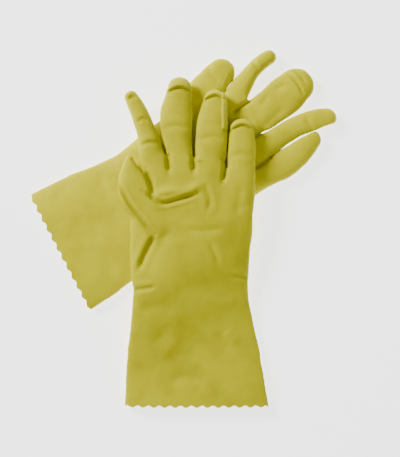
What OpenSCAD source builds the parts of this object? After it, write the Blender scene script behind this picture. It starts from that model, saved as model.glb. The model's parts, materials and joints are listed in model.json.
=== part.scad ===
// A pair of household rubber gloves laid one over the other.
// Millimetres, +Z up, the rest surface at Z = 0 and the origin under the middle of the pair.

/* [Overall sizes] */
// Width across the palm of a glove lying flat
hand_w = 104; // [80:1:130]
// Wrist to the roots of the fingers
hand_len = 107; // [85:1:130]
// Cuff width at its open end
cuff_w = 130; // [100:1:160]
// Wrist to the cuff edge
cuff_len = 112; // [70:1:160]

/* [Film and lining] */
// Latex film thickness
film = 0.6; // [0.3:0.05:1.2]
// Cotton flock lining thickness
flock = 0.4; // [0.2:0.05:0.8]
// Clearance between film and lining
bond = 0.05; // [0.02:0.01:0.2]
// Further clearance of the lining in a cuff, where the film bends two ways as it drapes
cuff_bond = 0.15; // [0.05:0.05:0.5]
// Gap left where two sections flex against each other
flex_gap = 0.6; // [0.3:0.1:2]
// Space between neighbouring fingers at the web
web_gap = 1.4; // [0.8:0.1:4]

/* [Digits] */
// Thumb length past its root
thumb_len = 38; // [25:1:60]
// Index finger length
index_len = 68; // [45:1:90]
// Middle finger length
middle_len = 79; // [50:1:100]
// Ring finger length
ring_len = 73; // [50:1:95]
// Little finger length
little_len = 55; // [35:1:80]
// Height of a finger lying flat
finger_h = 12; // [9:0.5:20]

/* [Body heights] */
// Height of the palm lying flat
palm_h = 13; // [9:0.5:22]
// Height of the cuff lying flat
cuff_h = 11; // [9:0.5:22]

/* [Cuff edge] */
// Length of cuff that turns back
turn_back = 50; // [20:1:60]
// Width of one scallop of the pinked edge
scallop_pitch = 9.8; // [6:0.2:16]
// Depth of the scallops
scallop_depth = 2; // [0.5:0.1:4]
// How far the lining stops short of the edge
lining_short = 5; // [2:0.5:20]

/* [Lay of the pair] */
// Turn of the lower glove, the right one
right_turn = -60; // [-80:1:-40]
// Wrist of the lower glove, across
right_x = -26.5; // [-60:1:0]
// Wrist of the lower glove, along
right_y = 26.7; // [0:0.5:60]
// Wrist of the upper glove, across
left_x = 10; // [-20:0.5:40]
// Wrist of the upper glove, along
left_y = -50.3; // [-80:0.5:-20]
// Clear height between the two gloves
stack_gap = 1.5; // [1:0.1:6]
// Distance over which the upper glove comes down to the rest surface
drape_run = 88; // [60:1:140]

/* [Hidden] */

latex = "#d9cc2a";
latex_palm = "#cbbd33";
cotton = "#efe9b8";

// How the two gloves and the digits are numbered in the tables
LEFT = 0;
RIGHT = 1;
INDEX = 0;
MIDDLE = 1;
RING = 2;
LITTLE = 3;

// Points round a hand or cuff, round a digit and along them
hand_n = 32;
digit_n = 16;
body_steps = 5;
tip_angles = [24, 46, 66, 82];

// Cross-section: share of the height under the widest line and how square each part is
seat = 0.44;
side_e = 0.92;
top_e = 0.86;
low_e = 0.5;
flat_sink = 0.5;
pivot_lift = 0.4;

// Tilt of the line of finger roots
web_tilt = 10;

// Lining and film surfaces as insets from the outside of the film
lining_out = film + bond;
lining_in = film + bond + flock;

lift = palm_h + stack_gap;

// Line along the lower glove's lower edge, from which the upper glove drapes down
drape_turn = 35;
drape_x = -11.5;
drape_y = -25.8;
drape_margin = 5;

// Rows along each hand from the wrist to the finger roots:
// [share of hand length, thumb side and little side as shares of hand width, height share]
hand_rows = [
  [
    [0.00, -0.500, 0.495, 0.92],
    [0.22, -0.515, 0.508, 1.00],
    [0.42, -0.520, 0.528, 1.02],
    [0.53, -0.505, 0.540, 1.02],
    [0.64, -0.480, 0.548, 1.02],
    [0.75, -0.455, 0.556, 1.00],
    [0.86, -0.442, 0.562, 0.98],
    [1.00, -0.436, 0.570, 0.94]
  ],
  [
    [0.00, -0.490, 0.490, 0.92],
    [0.22, -0.545, 0.488, 1.00],
    [0.42, -0.575, 0.470, 1.00],
    [0.54, -0.565, 0.452, 1.00],
    [0.66, -0.545, 0.436, 1.00],
    [0.78, -0.525, 0.424, 0.98],
    [0.90, -0.515, 0.412, 0.96],
    [1.080, -0.512, 0.400, 0.92]
  ]
];

// Rows from the cuff edge to the wrist: [share of cuff length, shares of cuff width, height share]
cuff_rows = [
  [
    [1.00, -0.466, 0.543, 1.10],
    [0.75, -0.460, 0.505, 1.00],
    [0.50, -0.442, 0.468, 0.98],
    [0.30, -0.425, 0.432, 1.00],
    [0.10, -0.405, 0.400, 1.05]
  ],
  [
    [0.88, -0.460, 0.458, 1.16],
    [0.70, -0.460, 0.448, 1.06],
    [0.50, -0.448, 0.425, 1.02],
    [0.30, -0.412, 0.405, 1.04],
    [0.10, -0.390, 0.390, 1.08]
  ]
];

// Cells of the hand, counted in rows past the wrist and round the side, that open into the thumb
thumb_row = 2;
thumb_rows = 4;
thumb_side = 2;

// Web line shared out to the fingers, from the thumb side to the little side
web_share = [
  [0, 0.236, 0.453, 0.742, 1],
  [0, 0.211, 0.521, 0.790, 1]
];

// Fingers: [length share, heading at the root and at the tip, width at half length and tip, height at half length and tip]
finger_lay = [
  [
    [1.00, 104, 121, 15.2, 12, 1.30, 1.10],
    [1.00, 93.5, 83, 26, 26.5, 1.00, 0.96],
    [1.00, 87, 87, 28, 24, 1.00, 0.96],
    [0.92, 89, 89, 25.5, 23, 1.00, 0.96]
  ],
  [
    [0.70, 132, 80, 13.5, 12.5, 1.05, 1.00],
    [0.82, 88, 103, 32, 30, 0.95, 0.90],
    [0.99, 97, 73, 18.6, 16.6, 0.92, 0.88],
    [1.00, 92, 101, 18.8, 15, 0.92, 0.88]
  ]
];

// Thumbs: [heading, width, step along, height share] of each row past the root
thumb_lay = [
  [
    [156, 38, 1.6, 0.95],
    [136, 30, 2.6, 0.98],
    [116, 26, 3.6, 1.00],
    [99, 24, 5.0, 1.00],
    [96, 20, 9.0, 0.98],
    [95, 15, 14.0, 0.92]
  ],
  [
    [166, 46, 1.4, 0.95],
    [152, 36, 2.0, 0.98],
    [135, 30, 2.6, 1.00],
    [119, 29, 3.4, 1.00],
    [112, 29, 7.0, 0.98],
    [112, 27, 13.0, 0.94]
  ]
];
thumb_cap = [7, 10];

function clamp01(v) = min(max(v, 0), 1);
function ease(v) = let(u = clamp01(v)) u * u * (3 - 2 * u);
function mix(a, b, f) = a + (b - a) * f;
function power(v, e) = sign(v) * pow(abs(v), e);
function lengths() = [index_len, middle_len, ring_len, little_len];

// A section is [x, y, heading, width, height]; inset t gives each surface of the film and the lining
function rim(s, t, a) =
  let(c = cos(a), v = sin(a), low = s[4] * seat)
  [
    (s[3] / 2 - t) * power(c, side_e),
    v >= 0 ? low + (s[4] - low - t) * pow(v, top_e)
           : max(t, low - (low + flat_sink - t) * pow(-v, low_e))
  ];
function spot(s, t, a) =
  let(q = rim(s, t, a))
  [s[0] + q[0] * sin(s[2]), s[1] - q[0] * cos(s[2]), q[1]];

// Height of the upper glove's underside above the rest surface
function drape(x, y) =
  let(d = (x - drape_x) * sin(drape_turn) - (y - drape_y) * cos(drape_turn))
  lift * (1 - ease((d - drape_margin) / drape_run));

// From a glove's own frame, wrist at the origin and fingers along +Y, to the frame of the pair
function laid(g, p) =
  g == RIGHT
  ? [right_x + p[0] * cos(right_turn) - p[1] * sin(right_turn),
     right_y + p[0] * sin(right_turn) + p[1] * cos(right_turn),
     p[2]]
  : let(x = left_x + p[0], y = left_y + p[1]) [x, y, p[2] + drape(x, y)];

// A row between a thumb-side point and a little-side point at a slant
function row(y, a, b, tilt, h, back = 0) =
  let(mid = (a + b) / 2)
  [mid - back * sin(tilt), y - back * cos(tilt), 90 - tilt, b - a, h];
function hand_section(g, i, back = 0) =
  let(r = hand_rows[g][i])
  row(r[0] * hand_len, r[1] * hand_w, r[2] * hand_w, web_tilt * ease(r[0]), r[3] * palm_h, back);
function cuff_section(g, r) = row(-r[0] * cuff_len, r[1] * cuff_w, r[2] * cuff_w, 0, r[3] * cuff_h);

// The fold of a cuff, measured back from its edge
function cuff_end(g) = cuff_rows[g][0][0] * cuff_len;
function fold_at(g) = (cuff_end(g) - turn_back * (g == LEFT ? 1 : 0.66)) / cuff_len;
function at_share(g, f) =
  let(
    rows = cuff_rows[g],
    k = [for (i = [0:len(rows) - 2]) if (f <= rows[i][0] && f >= rows[i + 1][0]) i][0],
    u = (f - rows[k][0]) / (rows[k + 1][0] - rows[k][0])
  )
  [for (c = [0:3]) mix(rows[k][c], rows[k + 1][c], u)];

// Sections of the hand, from the cuff fold to the finger roots
function hand_sections(g, back) =
  let(f = fold_at(g), r = cuff_rows[g], last = len(hand_rows[g]) - 1)
  concat(
    [cuff_section(g, at_share(g, f - flex_gap / 2 / cuff_len))],
    [for (i = [1:len(r) - 1]) if (r[i][0] < f - 0.06) cuff_section(g, r[i])],
    [for (i = [0:last]) hand_section(g, i, i == last ? back : 0)]
  );
function wrist_row(g) = len(hand_sections(g, 0)) - len(hand_rows[g]);

// Sections of the cuff, from the fold to the edge
function cuff_sections(g) =
  let(f = fold_at(g), n = g == LEFT ? 3 : 2)
  [for (i = [0:n]) cuff_section(g, at_share(g, mix(f + flex_gap / 2 / cuff_len, cuff_rows[g][0][0], i / n)))];

function web_section(g, back = 0) = hand_section(g, len(hand_rows[g]) - 1, back);
function arc(p, h0, h1, l, s) =
  let(h = mix(h0, h1, s / l), turn = (h1 - h0) * PI / 180, r = l / turn)
  abs(turn) < 0.01
  ? [p[0] + s * cos(h0), p[1] + s * sin(h0), h0]
  : [p[0] + r * (sin(h) - sin(h0)), p[1] - r * (cos(h) - cos(h0)), h];

// Sections of a finger with its skin inset t, so that an inner skin ends short of the tip
function finger_root(g, k) =
  let(
    w = web_section(g),
    a = (web_share[g][k] - 0.5) * w[3] + (k == INDEX ? 0 : web_gap / 2),
    b = (web_share[g][k + 1] - 0.5) * w[3] - (k == LITTLE ? 0 : web_gap / 2),
    m = (a + b) / 2
  )
  [w[0] + m * sin(w[2]), w[1] - m * cos(w[2]), w[2], b - a];
function root_height(g, k) = web_section(g)[4] * (k == MIDDLE || k == RING ? 0.93 : 0.78);
function finger_sections(g, k, t, ahead) =
  let(
    f = finger_lay[g][k],
    root = finger_root(g, k),
    l = f[0] * lengths()[k],
    cap = f[4] * 0.46,
    body = l - cap,
    h0 = root_height(g, k),
    hm = f[5] * finger_h,
    ht = f[6] * finger_h,
    start = [root[0] + ahead * cos(root[2]), root[1] + ahead * sin(root[2])],
    sizes = function(s) let(u = s / body)
      u < 0.5
      ? [mix(root[3], f[3], ease(u * 2)), mix(h0, hm, ease(u * 2))]
      : [mix(f[3], f[4], ease(u * 2 - 1)), mix(hm, ht, ease(u * 2 - 1))]
  )
  concat(
    [for (i = [0:body_steps])
      let(s = body * i / body_steps, p = arc(start, f[1], f[2], l, s), z = sizes(s))
      [p[0], p[1], mix(root[2], p[2], ease(s / (0.35 * l))), z[0], z[1]]],
    [for (a = tip_angles)
      let(s = body + (cap - t) * sin(a), p = arc(start, f[1], f[2], l, s), n = 2 * t)
      [p[0], p[1], p[2], (f[4] - n) * cos(a) + n, ht * mix(cos(a), 1, 0.15), a]]
  );

// A point of a cap section, whose height shrinks about the middle of the finger
function cap_spot(s, full, t, a) =
  let(
    shrink = len(s) > 5 ? cos(s[5]) : 1,
    base = [s[0], s[1], s[2], s[3], full],
    q = spot(base, t, a),
    mid = full * seat
  )
  [q[0], q[1], mid + (q[2] - mid) * pow(shrink, 0.7)];

// Grid of one surface of a finger
function finger_grid(g, k, t, ahead) =
  let(ss = finger_sections(g, k, t, ahead), ht = finger_lay[g][k][6] * finger_h)
  [for (s = ss)
    [for (j = [0:digit_n - 1])
      let(a = 360 * j / digit_n)
      laid(g, len(s) > 5 ? cap_spot(s, ht, t, a) : spot(s, t, a))]];
function finger_pole(g, k, t, ahead) =
  let(
    f = finger_lay[g][k],
    root = finger_root(g, k),
    l = f[0] * lengths()[k],
    start = [root[0] + ahead * cos(root[2]), root[1] + ahead * sin(root[2])],
    p = arc(start, f[1], f[2], l, l - t)
  )
  laid(g, [p[0], p[1], f[6] * finger_h * seat]);

// Grid of one surface of a hand or cuff
function body_grid(g, ss, t, n) =
  [for (s = ss) [for (j = [0:n - 1]) laid(g, spot(s, t, 360 * j / n))]];

// Thumb: its first row follows the opening in the side of the hand, then rows fan round the crotch
function side_cells() = hand_n / 2;
function opening(g, t) =
  let(
    first = thumb_row,
    last = thumb_row + thumb_rows,
    j0 = side_cells() - thumb_side,
    j1 = side_cells() + thumb_side,
    at = function(i, j) spot(hand_section(g, i), t, 360 * j / hand_n)
  )
  concat(
    [for (j = [side_cells():-1:j0 + 1]) at(last, j)],
    [for (i = [last:-1:first + 1]) at(i, j0)],
    [for (j = [j0:j1 - 1]) at(first, j)],
    [for (i = [first:last - 1]) at(i, j1)],
    [for (j = [j1:-1:side_cells() + 1]) at(last, j)]
  );
function mean(v, i = 0, acc = [0, 0, 0]) = i == len(v) ? acc / len(v) : mean(v, i + 1, acc + v[i]);
function drawn_in(p, c, t) = let(d = c - p, l = norm(d)) p + d * min(t / l, 0.9);
function crotch(g) =
  let(s = hand_section(g, thumb_row + thumb_rows)) [s[0] - s[3] / 2 * sin(s[2]), s[1] + s[3] / 2 * cos(s[2])];
function thumb_scale(g) = thumb_len / 38;
function thumb_section(g, r) =
  let(c = crotch(g), h = r[0], w = r[1], s = r[2] * (r[2] > 5 ? thumb_scale(g) : 1))
  [
    c[0] - (w / 2 + flex_gap) * sin(h) + s * cos(h),
    c[1] + (w / 2 + flex_gap) * cos(h) + s * sin(h),
    h, w, r[3] * finger_h
  ];
function thumb_tip(g, t, share) =
  let(
    rows = thumb_lay[g],
    r = rows[len(rows) - 1],
    s = thumb_section(g, r),
    reach = (thumb_cap[g] * thumb_scale(g) - t) * share
  )
  [s[0] + reach * cos(s[2]), s[1] + reach * sin(s[2]), s[2], s[3], s[4]];
function thumb_grid(g, t) =
  let(
    o = opening(g, 0),
    c = mean(o),
    out = hand_section(g, thumb_row + 2)[2] + 68,
    step = flex_gap * 1.5,
    tip = thumb_tip(g, t, 1)
  )
  concat(
    [[for (p = o) let(q = drawn_in(p, c, t)) laid(g, [q[0] + step * cos(out), q[1] + step * sin(out), q[2]])]],
    [for (r = thumb_lay[g])
      [for (j = [0:digit_n - 1]) laid(g, spot(thumb_section(g, r), t, 360 * j / digit_n))]],
    [for (a = tip_angles)
      let(s = thumb_tip(g, t, sin(a)), e = [s[0], s[1], s[2], (s[3] - 2 * t) * cos(a) + 2 * t, s[4], a])
      [for (j = [0:digit_n - 1]) laid(g, cap_spot(e, s[4], t, 360 * j / digit_n))]]
  );
function thumb_pole(g, t) = let(s = thumb_tip(g, t, 1)) laid(g, [s[0], s[1], s[4] * seat]);

// Two triangles for one cell, wound clockwise from outside
function cell(a, b, c, d) = [[a, b, c], [a, c, d]];
function flat_list(v) = [for (x = v) each x];

// Closed solid between an outer and an inner grid: open at the root, open or closed at the far end
module skin(outer, inner, poles = [], hole = []) {
  m = len(outer);
  n = len(outer[0]);
  v = m * n;
  shut = len(poles) == 2;
  holed = len(hole) == 4;
  function o(i, j) = i * n + (j + n) % n;
  function w(i, j) = v + o(i, j);
  function open_cell(i, j) = holed && i >= hole[0] && i < hole[1] && j >= hole[2] && j < hole[3];
  pts = concat(flat_list(outer), flat_list(inner), poles);
  sides = [for (i = [0:m - 2], j = [0:n - 1]) if (!open_cell(i, j))
    each concat(
      cell(o(i, j), o(i, j + 1), o(i + 1, j + 1), o(i + 1, j)),
      cell(w(i, j), w(i + 1, j), w(i + 1, j + 1), w(i, j + 1)))];
  root = [for (j = [0:n - 1]) each cell(o(0, j + 1), o(0, j), w(0, j), w(0, j + 1))];
  far = shut
    ? [for (j = [0:n - 1]) each [[o(m - 1, j), o(m - 1, j + 1), 2 * v],
                                 [w(m - 1, j + 1), w(m - 1, j), 2 * v + 1]]]
    : [for (j = [0:n - 1]) each cell(o(m - 1, j), o(m - 1, j + 1), w(m - 1, j + 1), w(m - 1, j))];
  ring = !holed ? [] : concat(
    [for (j = [hole[2]:hole[3] - 1]) each cell(o(hole[0], j), o(hole[0], j + 1), w(hole[0], j + 1), w(hole[0], j))],
    [for (i = [hole[0]:hole[1] - 1]) each cell(o(i, hole[3]), o(i + 1, hole[3]), w(i + 1, hole[3]), w(i, hole[3]))],
    [for (j = [hole[2]:hole[3] - 1]) each cell(o(hole[1], j + 1), o(hole[1], j), w(hole[1], j), w(hole[1], j + 1))],
    [for (i = [hole[0]:hole[1] - 1]) each cell(o(i + 1, hole[2]), o(i, hole[2]), w(i, hole[2]), w(i + 1, hole[2]))]
  );
  polyhedron(points = pts, faces = concat(sides, root, far, ring), convexity = 6);
}

// Wall across the finger end of a hand, with an opening for each finger
module web_wall(g, out, thick, hole_t, back) {
  s = web_section(g, back);
  turn = s[2] - 90 + (g == RIGHT ? right_turn : 0);
  at = laid(g, [s[0], s[1], 0]);
  function raised(q) =
    let(p = laid(g, [s[0] + q[0] * sin(s[2]), s[1] - q[0] * cos(s[2]), q[1]])) [q[0], p[2]];
  edge = [for (j = [0:hand_n - 1]) raised(rim(s, out, 360 * j / hand_n))];
  mouths = [for (k = [INDEX:LITTLE])
    let(r = finger_root(g, k), mid = (r[0] - web_section(g)[0]) / sin(s[2]), f = [0, 0, 0, r[3], root_height(g, k)])
    [for (j = [0:digit_n - 1]) let(q = rim(f, hole_t, 360 * j / digit_n)) raised([mid + q[0], q[1]])]];
  translate([at[0], at[1], 0])
    rotate([90, 0, turn])
      linear_extrude(height = thick)
        polygon(
          points = concat(edge, flat_list(mouths)),
          paths = concat([[for (j = [0:hand_n - 1]) j]],
            [for (k = [INDEX:LITTLE]) [for (j = [0:digit_n - 1]) hand_n + k * digit_n + j]])
        );
}

module hand(g, out, in, back) {
  ss = hand_sections(g, back);
  first = wrist_row(g) + thumb_row;
  side = side_cells();
  skin(
    body_grid(g, ss, out, hand_n),
    body_grid(g, ss, in, hand_n),
    hole = [first, first + thumb_rows, side - thumb_side, side + thumb_side]
  );
  web_wall(g, (out + in) / 2, in - out, in, back + bond);
}

// A cuff's film and lining share their rows, and each row's points lie on straight runs of its length
function cuff_span(g) = turn_back * (g == LEFT ? 1 : 0.66) - flex_gap / 2;
function cuff_point(g, t, a, f) =
  let(ss = cuff_sections(g), m = len(ss) - 1, i = max(0, min(floor(f * m), m - 1)))
  mix(laid(g, spot(ss[i], t, a)), laid(g, spot(ss[i + 1], t, a)), f * m - i);
function cuff_points() = 4 * round(2 * cuff_w / scallop_pitch);

module cuff(g, out, in) {
  n = cuff_points();
  m = len(cuff_sections(g)) - 1;
  // Each scallop takes four points of the edge row, so its notch is at every fourth
  function wave(j) = scallop_depth * (1 - cos(90 * j)) / 2;
  // Rows run from the edge to the fold, so that they head the same way as the hand's
  function grid(t) = [for (i = [m:-1:0])
    [for (j = [0:n - 1]) cuff_point(g, t, 360 * j / n, i < m ? i / m : 1 - wave(j) / cuff_span(g))]];
  skin(grid(out), grid(in));
}

module cuff_lining(g) {
  n = cuff_points() / 2;
  m = len(cuff_sections(g)) - 1;
  end = 1 - lining_short / cuff_span(g);
  rows = concat([end], [for (i = [m - 1:-1:0]) if (i / m < end - 0.04) i / m]);
  function grid(t) = [for (f = rows) [for (j = [0:n - 1]) cuff_point(g, t, 360 * j / n, f)]];
  skin(grid(lining_out + cuff_bond), grid(lining_in + cuff_bond));
}

module finger(g, k, out, in) {
  skin(
    finger_grid(g, k, out, flex_gap),
    finger_grid(g, k, in, flex_gap),
    [finger_pole(g, k, out, flex_gap), finger_pole(g, k, in, flex_gap)]
  );
}

module thumb(g, out, in) {
  skin(thumb_grid(g, out), thumb_grid(g, in), [thumb_pole(g, out), thumb_pole(g, in)]);
}

// Lower glove, a right hand lying with its back up
module right_hand() color(latex) hand(RIGHT, 0, film, 0);
module right_cuff() color(latex) cuff(RIGHT, 0, film);
module right_thumb() color(latex) thumb(RIGHT, 0, film);
module right_index() color(latex) finger(RIGHT, INDEX, 0, film);
module right_middle() color(latex) finger(RIGHT, MIDDLE, 0, film);
module right_ring() color(latex) finger(RIGHT, RING, 0, film);
module right_little() color(latex) finger(RIGHT, LITTLE, 0, film);

// Upper glove, a left hand lying with its palm up
module left_hand() color(latex_palm) hand(LEFT, 0, film, 0);
module left_cuff() color(latex_palm) cuff(LEFT, 0, film);
module left_thumb() color(latex_palm) thumb(LEFT, 0, film);
module left_index() color(latex_palm) finger(LEFT, INDEX, 0, film);
module left_middle() color(latex_palm) finger(LEFT, MIDDLE, 0, film);
module left_ring() color(latex_palm) finger(LEFT, RING, 0, film);
module left_little() color(latex_palm) finger(LEFT, LITTLE, 0, film);

// Cotton flock inside each section
module right_hand_lining() color(cotton) hand(RIGHT, lining_out, lining_in, lining_out);
module right_cuff_lining() color(cotton) cuff_lining(RIGHT);
module right_thumb_lining() color(cotton) thumb(RIGHT, lining_out, lining_in);
module right_index_lining() color(cotton) finger(RIGHT, INDEX, lining_out, lining_in);
module right_middle_lining() color(cotton) finger(RIGHT, MIDDLE, lining_out, lining_in);
module right_ring_lining() color(cotton) finger(RIGHT, RING, lining_out, lining_in);
module right_little_lining() color(cotton) finger(RIGHT, LITTLE, lining_out, lining_in);
module left_hand_lining() color(cotton) hand(LEFT, lining_out, lining_in, lining_out);
module left_cuff_lining() color(cotton) cuff_lining(LEFT);
module left_thumb_lining() color(cotton) thumb(LEFT, lining_out, lining_in);
module left_index_lining() color(cotton) finger(LEFT, INDEX, lining_out, lining_in);
module left_middle_lining() color(cotton) finger(LEFT, MIDDLE, lining_out, lining_in);
module left_ring_lining() color(cotton) finger(LEFT, RING, lining_out, lining_in);
module left_little_lining() color(cotton) finger(LEFT, LITTLE, lining_out, lining_in);

right_hand();
right_cuff();
right_thumb();
right_index();
right_middle();
right_ring();
right_little();
left_hand();
left_cuff();
left_thumb();
left_index();
left_middle();
left_ring();
left_little();
right_hand_lining();
right_cuff_lining();
right_thumb_lining();
right_index_lining();
right_middle_lining();
right_ring_lining();
right_little_lining();
left_hand_lining();
left_cuff_lining();
left_thumb_lining();
left_index_lining();
left_middle_lining();
left_ring_lining();
left_little_lining();
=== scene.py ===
import json
import math
import bpy
import numpy as np
from mathutils import Vector
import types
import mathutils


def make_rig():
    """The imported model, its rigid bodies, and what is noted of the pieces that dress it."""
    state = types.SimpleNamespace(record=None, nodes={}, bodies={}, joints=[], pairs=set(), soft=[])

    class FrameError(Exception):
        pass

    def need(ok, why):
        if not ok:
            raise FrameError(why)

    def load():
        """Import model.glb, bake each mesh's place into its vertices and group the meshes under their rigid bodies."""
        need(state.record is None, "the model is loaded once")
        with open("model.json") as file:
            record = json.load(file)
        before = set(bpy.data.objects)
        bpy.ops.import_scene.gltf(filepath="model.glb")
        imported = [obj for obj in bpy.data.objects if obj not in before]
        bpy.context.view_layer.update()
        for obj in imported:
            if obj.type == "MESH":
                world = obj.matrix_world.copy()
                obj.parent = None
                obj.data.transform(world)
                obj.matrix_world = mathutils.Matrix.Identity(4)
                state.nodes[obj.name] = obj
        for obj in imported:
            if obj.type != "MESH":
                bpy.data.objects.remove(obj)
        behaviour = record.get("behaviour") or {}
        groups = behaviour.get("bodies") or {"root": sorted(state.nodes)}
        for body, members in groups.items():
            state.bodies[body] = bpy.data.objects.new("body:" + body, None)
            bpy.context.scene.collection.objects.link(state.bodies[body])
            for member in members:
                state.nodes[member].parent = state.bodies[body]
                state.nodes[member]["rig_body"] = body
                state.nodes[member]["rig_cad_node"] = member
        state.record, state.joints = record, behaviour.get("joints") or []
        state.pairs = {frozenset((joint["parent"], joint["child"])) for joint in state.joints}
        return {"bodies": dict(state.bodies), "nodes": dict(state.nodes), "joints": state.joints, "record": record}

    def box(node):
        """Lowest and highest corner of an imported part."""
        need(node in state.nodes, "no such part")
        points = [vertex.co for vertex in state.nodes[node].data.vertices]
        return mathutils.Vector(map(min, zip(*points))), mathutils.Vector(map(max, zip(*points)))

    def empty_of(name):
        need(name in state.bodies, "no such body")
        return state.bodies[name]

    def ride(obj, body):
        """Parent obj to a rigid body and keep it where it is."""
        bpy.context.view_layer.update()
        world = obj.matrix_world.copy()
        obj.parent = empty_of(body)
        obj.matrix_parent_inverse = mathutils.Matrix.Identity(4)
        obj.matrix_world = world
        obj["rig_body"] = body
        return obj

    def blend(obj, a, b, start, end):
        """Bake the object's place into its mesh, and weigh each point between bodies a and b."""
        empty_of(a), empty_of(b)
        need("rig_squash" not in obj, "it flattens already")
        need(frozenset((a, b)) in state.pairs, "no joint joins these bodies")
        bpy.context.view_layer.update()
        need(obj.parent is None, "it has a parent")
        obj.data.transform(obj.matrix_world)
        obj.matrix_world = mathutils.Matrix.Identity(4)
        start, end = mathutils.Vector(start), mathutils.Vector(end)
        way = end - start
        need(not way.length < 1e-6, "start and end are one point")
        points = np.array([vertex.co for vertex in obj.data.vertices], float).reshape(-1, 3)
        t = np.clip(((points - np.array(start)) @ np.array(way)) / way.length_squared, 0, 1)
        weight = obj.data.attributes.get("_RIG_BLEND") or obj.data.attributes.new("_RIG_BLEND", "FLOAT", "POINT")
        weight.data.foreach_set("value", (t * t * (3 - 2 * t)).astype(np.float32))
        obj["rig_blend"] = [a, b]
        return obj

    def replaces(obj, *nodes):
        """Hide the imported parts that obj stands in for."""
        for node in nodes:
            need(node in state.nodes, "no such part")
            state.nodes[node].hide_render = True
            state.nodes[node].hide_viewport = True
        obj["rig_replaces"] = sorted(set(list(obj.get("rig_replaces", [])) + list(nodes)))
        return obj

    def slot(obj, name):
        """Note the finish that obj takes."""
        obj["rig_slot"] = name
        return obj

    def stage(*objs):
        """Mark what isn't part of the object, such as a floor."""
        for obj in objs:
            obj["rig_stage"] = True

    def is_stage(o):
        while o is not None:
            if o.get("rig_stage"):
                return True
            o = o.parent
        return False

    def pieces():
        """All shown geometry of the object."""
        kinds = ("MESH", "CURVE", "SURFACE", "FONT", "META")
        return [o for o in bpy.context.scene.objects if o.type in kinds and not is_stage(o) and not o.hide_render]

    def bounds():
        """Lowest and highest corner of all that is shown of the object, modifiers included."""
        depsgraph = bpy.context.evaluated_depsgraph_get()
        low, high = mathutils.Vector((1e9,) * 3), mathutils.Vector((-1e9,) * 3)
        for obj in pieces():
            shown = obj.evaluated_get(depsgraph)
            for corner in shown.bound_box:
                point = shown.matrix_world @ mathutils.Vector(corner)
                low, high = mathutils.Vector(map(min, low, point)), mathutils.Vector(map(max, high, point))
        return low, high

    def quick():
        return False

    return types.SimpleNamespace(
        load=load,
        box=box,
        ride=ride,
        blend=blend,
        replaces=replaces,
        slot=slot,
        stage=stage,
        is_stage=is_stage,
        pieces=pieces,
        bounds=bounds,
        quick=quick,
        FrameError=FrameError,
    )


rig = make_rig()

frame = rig.load()
cad_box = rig.bounds()
record = frame["record"]
mounts = {m["name"]: m for m in record["mounts"]}
MM = 0.001
STEP = 1.6 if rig.quick() else 1.15  # grid of the film, mm
LINING_STEP = 2.3  # grid of the lining, mm
LINING_DEPTH = 1.9  # how far the lining lies inside the film's outer side, mm
LINING_SINK = 0.9  # lowest height of the lining, mm
LINING_SHORT = 6.0  # how far the lining stops before the cuff's edge, mm
FILM = 0.6  # thickness of the film at the cuff's edge, mm
SCALLOP_HALF = 1.0  # half the depth of the scallops, mm
UV_PER_M = 10  # texture units a metre


# ---------------------------------------------------------------- glove frames
class Glove:
    """A glove's own flat frame in mm, with its fingers along +Y, set by where its cuff mouth is."""

    def __init__(self, side, mouth_x, mouth_y):
        m = mounts[side + "_cuff_mouth"]
        self.side = side
        self.u = -np.array(m["axis"][:2])
        self.v = np.array([self.u[1], -self.u[0]])
        p = np.array(m["pos_m"][:2]) / MM
        self.o = p - mouth_x * self.v - mouth_y * self.u

    def world(self, p):
        xy = self.o + p[:, :1] * self.v + p[:, 1:2] * self.u
        return np.column_stack([xy, p[:, 2]])


left = Glove("left", 5.0, -112.0)
right = Glove("right", -0.1, -98.5)
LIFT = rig.box("left_index")[0].z / MM - 0.4


# ---------------------------------------------------------------- numeric helpers
def ease(t):
    t = np.clip(t, 0, 1)
    return t * t * (3 - 2 * t)


def smin(a, b, k):
    h = np.clip(0.5 + 0.5 * (b - a) / k, 0, 1)
    return b + (a - b) * h - k * h * (1 - h)


def smax(a, b, k):
    return -smin(-a, -b, k)


def curve(points, n=7):
    """Smooth curve through rows of numbers, Catmull-Rom, n steps a span."""
    p = np.array(points, float)
    p = np.vstack([2 * p[0] - p[1], p, 2 * p[-1] - p[-2]])
    out = []
    for i in range(1, len(p) - 2):
        a, b, c, d = p[i - 1 : i + 3]
        for t in np.arange(n) / n:
            square = (2 * a - 5 * b + 4 * c - d) * t**2
            cube = (3 * b - a - 3 * c + d) * t**3
            out.append(0.5 * (2 * b + (c - a) * t + square + cube))
    out.append(p[-2])
    return np.array(out)


def along(x, y, line):
    """Distance to a polyline, share of its length, and side, which is positive on its left."""
    best = np.full(x.shape, 1e9)
    share = np.zeros(x.shape)
    side = np.zeros(x.shape)
    seg = np.hypot(*(line[1:, :2] - line[:-1, :2]).T)
    total = max(seg.sum(), 1e-9)
    run = 0.0
    for a, b, l in zip(line[:-1], line[1:], seg):
        if l < 1e-9:
            continue
        dx, dy = (b[0] - a[0]) / l, (b[1] - a[1]) / l
        px, py = x - a[0], y - a[1]
        t = np.clip(px * dx + py * dy, 0, l)
        d = np.hypot(px - t * dx, py - t * dy)
        m = d < best
        best = np.where(m, d, best)
        share = np.where(m, (run + t) / total, share)
        side = np.where(m, np.sign(dx * py - dy * px), side)
        run += l
    return best, share, side


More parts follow.
